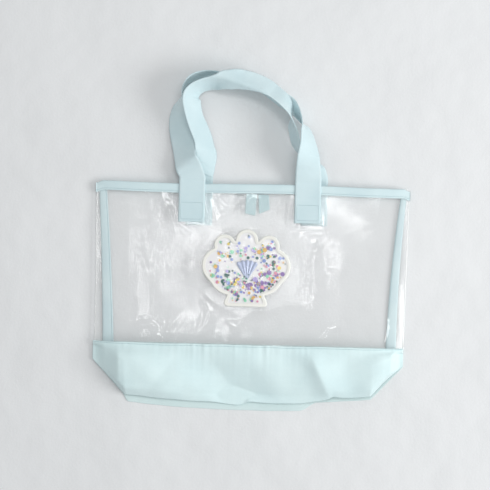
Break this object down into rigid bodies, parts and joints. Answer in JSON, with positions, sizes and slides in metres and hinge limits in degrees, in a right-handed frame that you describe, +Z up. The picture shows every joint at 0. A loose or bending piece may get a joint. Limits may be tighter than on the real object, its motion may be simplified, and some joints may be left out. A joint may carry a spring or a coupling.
{
  "type": "clear beach tote bag",
  "caption": "Clear vinyl tote lying flat, with fabric rim, base and looped handles, and a shell-shaped confetti pocket on the front.",
  "frame": {"origin": "under the middle of the laid-out bag and handles, on the surface it lies on", "axes": "+X across the bag, +Y from the base towards the handles, +Z up and out of the front panel"},
  "size_m": [0.45, 0.4878, 0.0499],
  "materials": {
    "clear_vinyl": "clear and glossy",
    "fabric": "pale aqua, padded polyester",
    "webbing": "pale aqua, folded and stitched",
    "binding": "pale aqua, folded tape",
    "patch_white": "cream",
    "charm": "pearly",
    "confetti_green": "foil",
    "confetti_gold": "foil",
    "confetti_purple": "foil",
    "confetti_lilac": "foil",
    "confetti_periwinkle": "foil",
    "confetti_pink": "foil",
    "confetti_mint": "foil",
    "confetti_yellow": "foil"
  },
  "bodies": {
    "bag": {"front_skirt": "fabric", "back_skirt": "fabric", "base_gusset": "fabric", "front_handle_tab_left": "webbing", "front_handle_tab_right": "webbing", "back_handle_tab_left": "webbing", "back_handle_tab_right": "webbing", "front_rim_binding": "binding", "back_rim_binding": "binding", "left_side_binding": "binding", "right_side_binding": "binding", "front_panel": "clear_vinyl", "back_panel": "clear_vinyl", "patch_window": "clear_vinyl", "patch_backing": "patch_white", "patch_border": "patch_white", "sequin_01": "confetti_green", "sequin_02": "confetti_gold", "sequin_03": "confetti_purple", "sequin_04": "confetti_lilac", "sequin_05": "confetti_periwinkle", "sequin_06": "confetti_pink", "sequin_07": "confetti_mint", "sequin_08": "confetti_yellow", "sequin_09": "confetti_green", "sequin_10": "confetti_gold", "sequin_11": "confetti_purple", "sequin_12": "confetti_lilac", "sequin_13": "confetti_periwinkle", "sequin_14": "confetti_pink", "sequin_15": "confetti_mint", "sequin_16": "confetti_yellow", "sequin_17": "confetti_green", "sequin_18": "confetti_gold", "sequin_19": "confetti_purple", "sequin_20": "confetti_lilac", "sequin_21": "confetti_periwinkle", "sequin_22": "confetti_pink", "sequin_23": "confetti_mint", "sequin_24": "confetti_yellow"},
    "front_handle": {"front_handle": "webbing"},
    "back_handle": {"back_handle": "webbing"},
    "charm": {"fan_charm": "charm"},
    "front_closure": {"front_closure_tab": "fabric"},
    "back_closure": {"back_closure_tab": "fabric"}
  },
  "joints": [
    {"name": "front_handle_swing", "type": "hinge", "parent": "bag", "child": "front_handle", "pos_m": [0, 0.0821, 0.016], "axis": [1, 0, 0], "range_deg": [0, 120]},
    {"name": "back_handle_swing", "type": "hinge", "parent": "bag", "child": "back_handle", "pos_m": [0, 0.0821, 0.016], "axis": [1, 0, 0], "range_deg": [0, 120]},
    {"name": "charm_slide", "type": "slide", "parent": "bag", "child": "charm", "axis": [1, 0, 0], "range_m": [-0.002, 0.002]},
    {"name": "front_closure_swing", "type": "hinge", "parent": "bag", "child": "front_closure", "pos_m": [-0.002, 0.0673, 0.0106], "axis": [1, 0, 0], "range_deg": [0, 9]},
    {"name": "back_closure_swing", "type": "hinge", "parent": "bag", "child": "back_closure", "pos_m": [0.015, 0.0673, 0.004], "axis": [-1, 0, 0], "range_deg": [0, 9]}
  ],
  "couplings": [
    {"joint": "back_handle_swing", "follows": "front_handle_swing", "ratio": 1}
  ]
}
